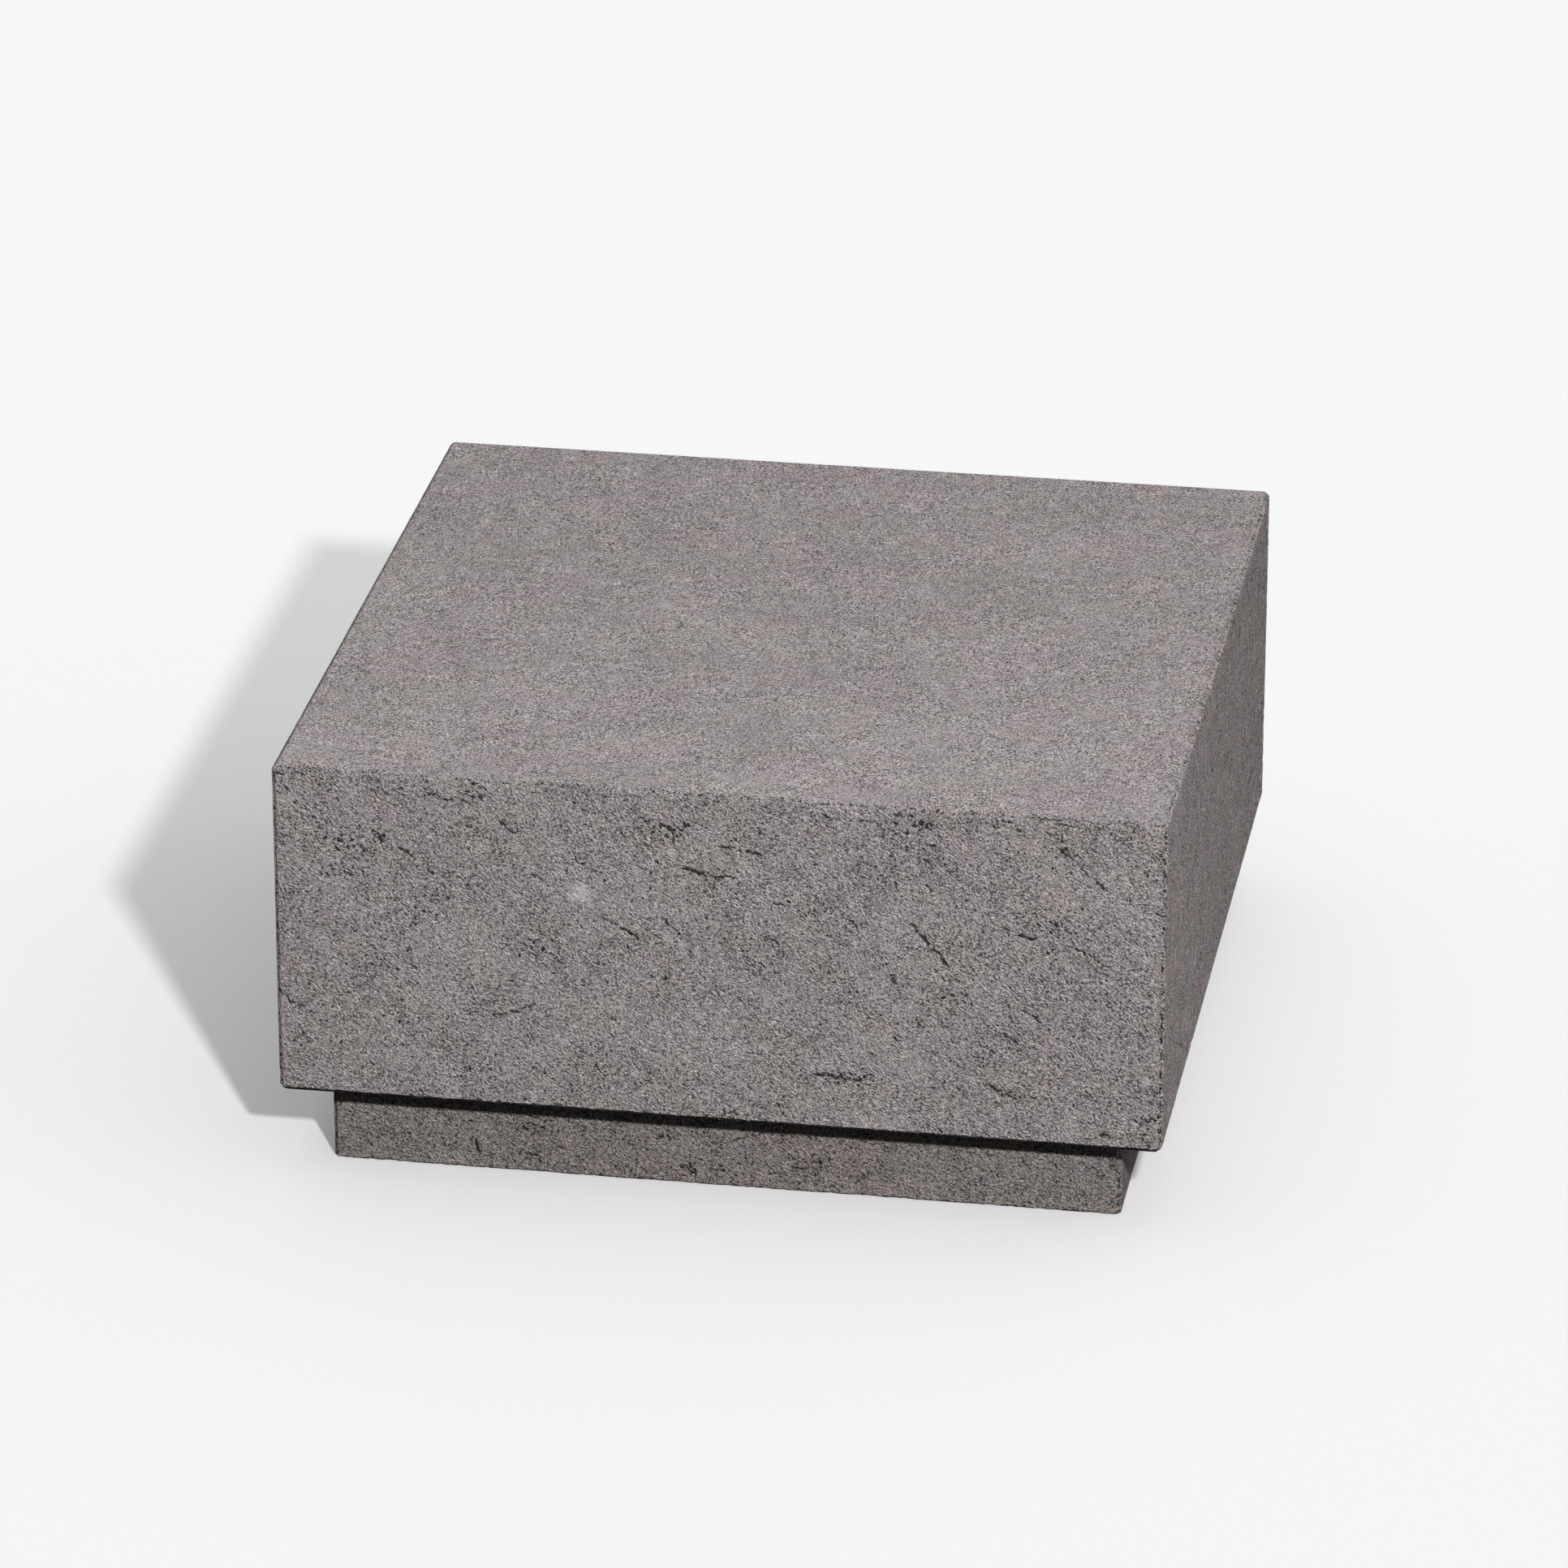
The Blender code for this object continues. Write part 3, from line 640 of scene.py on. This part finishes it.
def granite_group():
    """Speckled crystals, soft tints and clouds, fine cracks, and the height of the dressed surface."""
    inputs = {
        "Vector": ("NodeSocketVector", None),
        "Colour": ("NodeSocketColor", colour(0.28, 0.26, 0.26)),
        "Speckle": ("NodeSocketFloat", 1.0),
        "Dressing": ("NodeSocketFloat", 1.0),
        "Pitting_And_Painted_Shade": ("NodeSocketFloat", 0.0),
        "Fleck": ("NodeSocketFloat", 0.0),
        "Crack": ("NodeSocketFloat", 0.0),
        "Crack Side": ("NodeSocketFloat", 0.0),
    }
    outputs = {"Colour": "NodeSocketColor", "Height": "NodeSocketFloat"}
    nodes, given, made = new_group("granite", inputs, outputs)
    # the grain runs down to the right
    turned = {0: given["Vector"], "Rotation": (0.5, 0.65, 0.3), "Scale": (1.5, 0.9, 0.9)}
    place = nodes.add("ShaderNodeMapping", {"vector_type": "TEXTURE"}, turned)
    busy = nodes.map(nodes.noise(place, 0.045, 2.0), 0.36, 0.64, 0.76, 1.24)
    height = nodes.noise(place, 0.0016, 3.0, 0.65, 0.4)
    fine = nodes.math("SUBTRACT", nodes.noise(place, 0.0016, 2.0, 0.65), 0.5)
    small = nodes.math("SUBTRACT", nodes.noise(place, 0.0044, 2.0, 0.6), 0.5)
    middle = nodes.math("SUBTRACT", nodes.noise(place, 0.014, 3.0, 0.6), 0.5)
    # rough faces show less of the crystals and more of their patches; the crests of their relief are painted
    # lighter and its hollows painted darker, a painted highlight and shade
    coarse = nodes.math("MULTIPLY_ADD", middle, 0.75, nodes.math("MULTIPLY", small, 1.2))
    coarse = nodes.math("MULTIPLY", coarse, nodes.map(given["Dressing"], 0.1, 1.0, 1.0, 1.72))
    fine = nodes.math("MULTIPLY", fine, nodes.map(given["Dressing"], 0.1, 1.0, 5.8, 5.6))
    level = nodes.math("MULTIPLY", nodes.math("ADD", coarse, fine), given["Speckle"])
    level = nodes.math("MULTIPLY", level, busy)
    # painted highlight and shade: the tone follows the relief's height, lighter on crests and darker in
    # hollows
    crest = nodes.math("MULTIPLY", nodes.math("SUBTRACT", height, 0.5), given["Dressing"])
    level = nodes.math("MULTIPLY_ADD", crest, 3.6, level)
    clouds = nodes.noise(place, 0.09, 3.0, 0.55)
    level = nodes.math("MULTIPLY_ADD", nodes.math("SUBTRACT", clouds, 0.5), 0.50, level)
    # painted light: dressed faces are painted up to 1.76 times lighter than the smooth top, to make up for
    # the shade of their relief
    lift = nodes.map(given["Dressing"], 0.1, 1.0, 1.0, 1.76)
    tone = nodes.math("MAXIMUM", nodes.math("ADD", lift, level), 0.12)
    # tints
    warm = nodes.map(nodes.noise(place, 0.042, 1.6, 0.6), 0.32, 0.68, smooth=False)
    tinted = nodes.mix(warm, colour(0.986, 0.997, 1.022), colour(1.014, 1.003, 0.974))
    mauve = nodes.map(nodes.noise(place, 0.080, 1.2, 0.6), 0.36, 0.64, smooth=False)
    mauve = nodes.mix(mauve, colour(1.009, 0.991, 1.010), colour(0.995, 1.009, 0.989))
    tinted = nodes.mix(1.0, tinted, mauve, "MULTIPLY")
    rusty = nodes.map(nodes.noise(place, 0.0045, 0.0), 0.62, 0.72, 0.0, 0.15)
    tinted = nodes.mix(rusty, tinted, colour(1.12, 1.0, 0.86))
    stone = nodes.mix(1.0, given["Colour"], tinted, "MULTIPLY")
    stone = nodes.scale_colour(stone, tone)
    # pale crystals, with ragged outlines
    ragged = nodes.math("SUBTRACT", nodes.noise(place, 0.0030, 4.0, 0.7), 0.5)
    pale = nodes.map(nodes.math("MULTIPLY_ADD", ragged, 2.4, given["Fleck"]), 0.46, 0.66, 0.0, 0.80)
    stone = nodes.mix(pale, stone, nodes.scale_colour(colour(0.390, 0.374, 0.378), lift))
    # the crack's line, ragged and broken up
    off_line = nodes.math("ABSOLUTE", nodes.math("MULTIPLY_ADD", ragged, 8.0, given["Crack Side"]))
    width = nodes.math("MULTIPLY_ADD", given["Crack"], -0.9, off_line)
    line = nodes.math("MULTIPLY", nodes.map(width, 0.45, -0.25), nodes.map(given["Crack"], 0.0, 0.5))
    line = nodes.math("MULTIPLY", line, nodes.map(nodes.noise(place, 0.0042, 2.0), 0.40, 0.50))
    # small pits, more of them in pitted patches and where edges turn under, the latter a painted shade
    fine_pits = nodes.math("MULTIPLY_ADD", given["Pitting_And_Painted_Shade"], 0.17, nodes.noise(place, 0.0034, 2.0, 0.5, 0.5))
    pit = nodes.math("MULTIPLY", nodes.map(fine_pits, 0.66, 0.73), nodes.map(given["Dressing"], 0.2, 0.7))
    # pits and crack lines darken the stone, and so does the painted shade of edges that turn under
    dark_marks_and_painted_shade = nodes.math("MAXIMUM", pit, line)
    stone = nodes.mix(nodes.math("MULTIPLY", dark_marks_and_painted_shade, 0.93), stone, colour(0.022, 0.019, 0.018))
    nodes.feed(made["Colour"], stone)
    shallow = nodes.map(nodes.noise(place, 0.0036, 1.0), 0.30, 0.44)
    height = nodes.math("MULTIPLY_ADD", shallow, 0.20, height)
    height = nodes.math("SUBTRACT", nodes.math("MULTIPLY_ADD", dark_marks_and_painted_shade, -0.15, height), 0.64)
    height = nodes.math("MULTIPLY", height, nodes.math("MULTIPLY_ADD", pale, -0.55, busy))
    nodes.feed(made["Height"], nodes.math("MULTIPLY", height, given["Dressing"]))
    return nodes.tree


def new_material(name):
    """A material with only its Principled shader, and the calls that add nodes to it."""
    material = bpy.data.materials.new(name)
    material.use_nodes = True
    material.node_tree.nodes.clear()
    nodes = Tree(material.node_tree)
    shader = material.node_tree.nodes.new("ShaderNodeBsdfPrincipled")
    output = material.node_tree.nodes.new("ShaderNodeOutputMaterial")
    material.node_tree.links.new(shader.outputs[0], output.inputs["Surface"])
    return material, nodes, shader


def granite(name, group, stone, speckle, relief):
    """Weathered granite. stone is its mean colour, and relief the depth of its dressing in metres."""
    material, nodes, shader = new_material(name)
    used = material.node_tree.nodes.new("ShaderNodeGroup")
    used.node_tree = group
    given = {"Vector": nodes.add("ShaderNodeTexCoord", output="Object"), "Colour": stone, "Speckle": speckle}
    for label in ("Dressing", "Pitting_And_Painted_Shade", "Fleck", "Crack", "Crack Side"):
        mask = label.lower().replace(" ", "_")
        given[label] = nodes.add("ShaderNodeAttribute", {"attribute_name": mask}, output="Fac")
    for label, value in given.items():
        nodes.feed(used.inputs[label], value)
    raised = nodes.add("ShaderNodeBump", None, {"Height": used.outputs["Height"], "Distance": relief})
    nodes.feed(shader.inputs["Base Color"], used.outputs["Colour"])
    nodes.feed(shader.inputs["Normal"], raised)
    shader.inputs["Roughness"].default_value = 0.92
    shader.inputs["Specular IOR Level"].default_value = 0.25
    return material


def mottle_group():
    """Soft blotches and fine grain, for metal, rubber and plastic."""
    inputs = {"Vector": ("NodeSocketVector", None), "Size": ("NodeSocketFloat", 0.004)}
    outputs = dict.fromkeys(("Blotch", "Grain"), "NodeSocketFloat")
    nodes, given, made = new_group("mottle", inputs, outputs)
    for label, share in (("Blotch", 1.0), ("Grain", 9.0)):
        scale = nodes.math("DIVIDE", share, given["Size"])
        settings = {"Vector": given["Vector"], "Scale": scale, "Detail": 3.0, "Roughness": 0.6}
        nodes.feed(made[label], nodes.add("ShaderNodeTexNoise", None, settings))
    return nodes.tree


def wood_group():
    """Wood grain along one direction: long fibres, wider growth bands and short dark pores."""
    inputs = {"Vector": ("NodeSocketVector", None), "Stretch": ("NodeSocketVector", None)}
    outputs = dict.fromkeys(("Band", "Fibre", "Pore"), "NodeSocketFloat")
    nodes, given, made = new_group("wood", inputs, outputs)
    vectors = {0: given["Vector"], 1: given["Stretch"]}
    drawn = nodes.add("ShaderNodeVectorMath", {"operation": "MULTIPLY"}, vectors)
    nodes.feed(made["Band"], nodes.noise(drawn, 0.030, 3.0, 0.6, 1.2))
    nodes.feed(made["Fibre"], nodes.noise(drawn, 0.0022, 3.0, 0.65))
    nodes.feed(made["Pore"], nodes.map(nodes.noise(drawn, 0.0035, 1.0), 0.62, 0.70))
    return nodes.tree


def moulded(name, group, base, blotched, roughness, size, metallic=0.0, grain=0.0002):
    """A material of two close shades with a fine surface grain: metal, plastic or rubber."""
    material, nodes, shader = new_material(name)
    used = material.node_tree.nodes.new("ShaderNodeGroup")
    used.node_tree = group
    nodes.feed(used.inputs["Vector"], nodes.add("ShaderNodeTexCoord", output="Object"))
    nodes.feed(used.inputs["Size"], size)
    blotch = nodes.map(used.outputs["Blotch"], 0.35, 0.65)
    nodes.feed(shader.inputs["Base Color"], nodes.mix(blotch, base, blotched))
    low, high = roughness
    nodes.feed(shader.inputs["Roughness"], nodes.map(used.outputs["Blotch"], 0.3, 0.7, low, high))
    raised = nodes.add("ShaderNodeBump", None, {"Height": used.outputs["Grain"], "Distance": grain})
    nodes.feed(shader.inputs["Normal"], raised)
    shader.inputs["Metallic"].default_value = metallic
    return material


def wood(name, group, pale, dark, stretch, thickness_axis=None):
    """Bare wood. With a thickness axis it is plywood, and its plies show as bands on the edges."""
    material, nodes, shader = new_material(name)
    used = material.node_tree.nodes.new("ShaderNodeGroup")
    used.node_tree = group
    place = nodes.add("ShaderNodeTexCoord", output="Object")
    nodes.feed(used.inputs["Vector"], place)
    nodes.feed(used.inputs["Stretch"], stretch)
    shade = nodes.math("MULTIPLY_ADD", nodes.map(used.outputs["Fibre"], 0.3, 0.7), 0.4,
                       nodes.map(used.outputs["Band"], 0.3, 0.7, 0.0, 0.6))
    if thickness_axis is not None:
        plies = nodes.math("MULTIPLY_ADD", nodes.parts(place)[thickness_axis], 1 / 0.0028, 0.13)
        ply = nodes.map(nodes.math("PINGPONG", plies, 1.0), 0.42, 0.58)
        shade = nodes.math("MULTIPLY_ADD", ply, 0.55, nodes.math("MULTIPLY", shade, 0.6))
    stained = nodes.mix(nodes.math("MULTIPLY", used.outputs["Pore"], 0.35), nodes.mix(shade, pale, dark),
                        colour(0.10, 0.055, 0.03))
    nodes.feed(shader.inputs["Base Color"], stained)
    nodes.feed(shader.inputs["Roughness"], nodes.map(used.outputs["Fibre"], 0.3, 0.7, 0.60, 0.75))
    raised = nodes.add("ShaderNodeBump", None, {"Height": used.outputs["Fibre"], "Distance": 0.0002})
    nodes.feed(shader.inputs["Normal"], raised)
    return material


# ---- putting the table together ---------------------------------------------------------------------


def place_piece(piece, material, slot, body, *nodes):
    """A finished piece gets its material and its body, and the frame's nodes that it stands for are hidden.
    slot is not used.
    """
    piece.data.materials.append(material)
    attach(piece, body)
    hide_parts(*nodes)


def clad():
    """Every slab in its place. The front's marks are given one by one, and the other faces' by chance. The
    right side's stone is painted paler, a painted light, with a stronger speckle and deeper dressing, and
    the plinth's is painted darker, a painted shade."""
    group = granite_group()
    weather = granite("weathered_granite", group, colour(0.326, 0.294, 0.297), 1.0, 0.0108)
    # painted light: the right side's stone is a paler copy of the same stone, for more light on that side
    coarse = granite("coarse_granite_painted_lighter", group, colour(0.398, 0.348, 0.349), 1.75, 0.0175)
    # painted shade: the plinth's stone is a darker copy of the same stone, for the shade the plinth stands
    # in
    dark = granite("plinth_granite_painted_darker", group, colour(0.242, 0.214, 0.206), 1.0, 0.0088)
    place_piece(top_slab(((), (), TOP_FLECKS)), weather, "granite", "table", "top_slab")
    for number, side in enumerate(QUARTERS):
        marks = (FRONT_CRACKS, FRONT_PITS, FRONT_FLECKS)
        low_marks = (PLINTH_CRACKS, PLINTH_PITS, ())
        if side != "front":
            marks = chance_marks(40 + number, HALF, BLOCK_BASE, BLOCK_TOP, 1.0)
            low_marks = chance_marks(60 + number, PLINTH_HALF, 0.0, PLINTH_TOP, PLINTH_SHARE)
        draw = np.random.default_rng(80 + number)
        scratches = chance_cracks(draw, HALF, BLOCK_BASE, BLOCK_TOP, SCRATCHES, 0.018)
        low_scratches = chance_cracks(draw, PLINTH_HALF, 0.0, PLINTH_TOP, PLINTH_SCRATCHES, 0.014)
        marks = (deepened(marks[0]) + scratches, *marks[1:])
        low_marks = (deepened(low_marks[0]) + low_scratches, *low_marks[1:])
        seed = 200 * number
        stone = coarse if side == "right" else weather
        place_piece(side_slab(side, marks, seed), stone, "granite", "table", f"{side}_slab")
        place_piece(soffit_slab(side, seed + 30), weather, "granite", "table", f"{side}_soffit")
        plinth = plinth_slab(side, low_marks, seed + 60)
        place_piece(plinth, dark, "granite", "table", f"{side}_plinth_slab")


def finish_timber():
    """The timber nodes of the frame are shown as they are. Only their materials are changed."""
    group = wood_group()
    birch = (colour(0.62, 0.46, 0.30), colour(0.40, 0.25, 0.14))
    plywood = [wood(f"plywood_{'xyz'[axis]}", group, *birch, stretch, axis)
               for axis, stretch in enumerate(((1, 0.12, 1), (0.12, 1, 1), (0.12, 1, 1)))]
    beech = wood("beech", group, colour(0.56, 0.36, 0.21), colour(0.42, 0.24, 0.13), (1, 1, 0.12))
    for name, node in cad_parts.items():
        if name.endswith("_corner_block"):
            node.material_slots[0].material = beech
        elif name.startswith("core_") or name.endswith("_plinth_rail"):
            low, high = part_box(name)
            thickness = [high[i] - low[i] for i in range(3)]
            node.material_slots[0].material = plywood[thickness.index(min(thickness))]


def fit_feet():
    """In each corner an insert and its two screws, and a foot: a rubber sole, a cup and a stem."""
    group = mottle_group()
    bright, dull = colour(0.60, 0.61, 0.62), colour(0.50, 0.50, 0.49)
    zinc = moulded("zinc_plate", group, bright, dull, (0.28, 0.42), 0.006, 1.0)
    black, worn = colour(0.018, 0.018, 0.019), colour(0.026, 0.026, 0.026)
    nylon = moulded("black_nylon", group, black, worn, (0.42, 0.55), 0.005)
    grey, dusty = colour(0.10, 0.10, 0.10), colour(0.14, 0.135, 0.13)
    rubber = moulded("grey_rubber", group, grey, dusty, (0.75, 0.9), 0.004)
    for corner, signs in CORNERS.items():
        axis = np.array(signs) * FOOT_AXIS
        pad, stem = f"{corner}_pad", f"{corner}_stem"
        sole = sharpen(turned_piece(f"{corner}_sole", axis, 72, sole_shape))
        place_piece(sole, rubber, "grey_rubber", pad, f"{corner}_foot_sole")
        cup = sharpen(turned_piece(f"{corner}_cup", axis, 288, pad_shape))
        place_piece(cup, nylon, "black_nylon", pad, f"{corner}_foot_pad")
        rod = sharpen(turned_piece(f"{corner}_threaded_stem", axis, 48, stem_shape))
        place_piece(rod, zinc, "zinc_plated_steel", stem, f"{corner}_foot_stem")
        sleeve = sharpen(turned_piece(f"{corner}_sleeve", axis, 96, insert_shape, ring=True))
        place_piece(sleeve, zinc, "zinc_plated_steel", "table", f"{corner}_insert")
        for number in (1, 2):
            low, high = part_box(f"{corner}_screw_{number}")
            middle = ((low.x + high.x) / 2, (low.y + high.y) / 2)
            screw = sharpen(turned_piece(f"{corner}_wood_screw_{number}", middle, 64, screw_shape))
            place_piece(screw, zinc, "zinc_plated_steel", "table", f"{corner}_screw_{number}")


# ---- floor, light and camera ------------------------------------------------------------------------

KEY_PLACE = Vector((1.70, -4.47, 3.20))
KEY_RADIUS = 0.13
KEY_POWER = 1140.0
SKY_LOBES = {"right": 0.83, "left": 0.22, "back": 0.65, "above": 0.91}
UNDER_LIGHT = 0.3  # a narrow glow from straight below, so that the stone's underside isn't black
UNDERSIDE_POWER = 0.30
# What the floor gets from the lamp, times the cube of its distance, and from the sky's lobes
LAMP_ON_FLOOR = KEY_POWER * KEY_PLACE.z / (4 * math.pi**2)
SKY_ON_FLOOR = (SKY_LOBES["right"] + SKY_LOBES["left"] + SKY_LOBES["back"]) / 8 + SKY_LOBES["above"] / 3
FLOOR_SHADE = 0.93
SHADOW_STRENGTH = 0.81
BACKDROP = colour(0.930, 0.930, 0.930)
PAINTED_LAMP_TINT = colour(1.004, 0.987, 0.996)  # painted light: the floor's pink tint towards the lamp
CAMERA_PLACE = (1.16232, -7.02915, 3.37394)
CAMERA_TURN, CAMERA_TILT = math.radians(9.432), math.radians(23.744)
CAMERA_LENS = 192.5


def lay_floor():
    """A pale floor. Its paint is FLOOR_SHADE divided by the light that falls on it, so that it looks
    even, and a share of it glows, which softens the shadow. From below it is clear."""
    floor_size = 40.0
    corners = np.array([[-1, -1, 0], [1, -1, 0], [1, 1, 0], [-1, 1, 0]]) * floor_size
    floor = mesh_object("studio_floor", corners, [np.array([[0, 1, 2, 3]])])
    material, nodes, shader = new_material("pale_floor")
    place = nodes.add("ShaderNodeNewGeometry", output="Position")
    ends = {0: place, 1: KEY_PLACE}
    away = nodes.add("ShaderNodeVectorMath", {"operation": "DISTANCE"}, ends, output="Value")
    lamp = nodes.math("DIVIDE", LAMP_ON_FLOOR, nodes.math("POWER", away, 3.0))
    shade = nodes.math("DIVIDE", FLOOR_SHADE * SHADOW_STRENGTH, nodes.math("ADD", SKY_ON_FLOOR, lamp))
    x, y = nodes.parts(place)[:2]
    # painted light: the floor is tinted pink towards the lamp
    toward_lamp = nodes.map(nodes.math("SUBTRACT", x, y), -0.2, 0.6)
    painted_light_tint = nodes.mix(toward_lamp, colour(1, 1, 1), PAINTED_LAMP_TINT)
    nodes.feed(shader.inputs["Base Color"], nodes.scale_colour(painted_light_tint, shade))
    nodes.feed(shader.inputs["Emission Color"], painted_light_tint)
    shader.inputs["Emission Strength"].default_value = FLOOR_SHADE * (1 - SHADOW_STRENGTH)
    shader.inputs["Roughness"].default_value = 1.0
    shader.inputs["Specular IOR Level"].default_value = 0.0
    below = nodes.add("ShaderNodeNewGeometry", output="Backfacing")
    clear = nodes.add("ShaderNodeBsdfTransparent")
    both = nodes.add("ShaderNodeMixShader", None, {0: below, 1: shader.outputs[0], 2: clear})
    nodes.feed(material.node_tree.nodes["Material Output"].inputs["Surface"], both)
    floor.data.materials.append(material)
    floor.visible_diffuse = False
    floor.visible_glossy = False


def light_scene():
    """A small soft lamp at the front right, and a sky brighter on both sides, behind and above, with a
    narrow glow from below."""
    data = bpy.data.lights.new("key_lamp", "POINT")
    data.energy = KEY_POWER
    data.shadow_soft_size = KEY_RADIUS
    lamp = bpy.data.objects.new("key_lamp", data)
    lamp.location = KEY_PLACE
    bpy.context.scene.collection.objects.link(lamp)
    world = bpy.data.worlds.new("studio")
    world.use_nodes = True
    world.node_tree.nodes.clear()
    nodes = Tree(world.node_tree)
    across, along, up = nodes.parts(nodes.add("ShaderNodeTexCoord", output="Generated"))
    lobes = {"right": (across, 1.0, 2.0), "left": (across, -1.0, 2.0), "back": (along, 1.0, 2.0),
             "above": (up, 1.0, 4.0)}
    level = 0.0
    for name, (part, sign, power) in lobes.items():
        facing = nodes.math("MAXIMUM", nodes.math("MULTIPLY", part, sign), 0.0)
        level = nodes.math("MULTIPLY_ADD", nodes.math("POWER", facing, power), SKY_LOBES[name], level)
    level = nodes.math("MULTIPLY", level, nodes.map(up, -0.02, 0.02))
    under = nodes.math("POWER", nodes.math("MAXIMUM", nodes.math("MULTIPLY", up, -1.0), 0.0), 30.0)
    level = nodes.math("MULTIPLY_ADD", under, UNDER_LIGHT, level)
    sky = nodes.add("ShaderNodeBackground", None, {"Color": colour(1, 1, 1), "Strength": level})
    plain = nodes.add("ShaderNodeBackground", None, {"Color": BACKDROP})
    seen = nodes.add("ShaderNodeLightPath", output="Is Camera Ray")
    both = nodes.add("ShaderNodeMixShader", None, {0: seen, 1: sky, 2: plain})
    end = world.node_tree.nodes.new("ShaderNodeOutputWorld")
    nodes.feed(end.inputs["Surface"], both)
    bpy.context.scene.world = world


def light_underside():
    """A weak lamp as wide as the hollow of the plinth and facing up into it, that shows the timber and
    the feet from below. The plinth hides it from everywhere else."""
    data = bpy.data.lights.new("underside_lamp", "AREA")
    data.energy = UNDERSIDE_POWER
    data.size = 2 * (PLINTH_HALF - 2 * SLAB)
    lamp = bpy.data.objects.new("underside_lamp", data)
    lamp.location = (0, 0, 0.0005)
    lamp.rotation_euler = (math.pi, 0, 0)
    lamp.visible_camera = False
    bpy.context.scene.collection.objects.link(lamp)


def place_camera():
    """A long lens from the front, a little to the right and above, looking down at the table."""
    data = bpy.data.cameras.new("camera")
    data.lens = CAMERA_LENS
    data.clip_end = 200
    camera = bpy.data.objects.new("camera", data)
    camera.location = CAMERA_PLACE
    camera.rotation_euler = (math.pi / 2 - CAMERA_TILT, 0, CAMERA_TURN)
    bpy.context.scene.collection.objects.link(camera)
    bpy.context.scene.camera = camera
    bpy.context.scene.view_settings.view_transform = "Standard"


clad()
finish_timber()
fit_feet()
lay_floor()
light_scene()
light_underside()
place_camera()
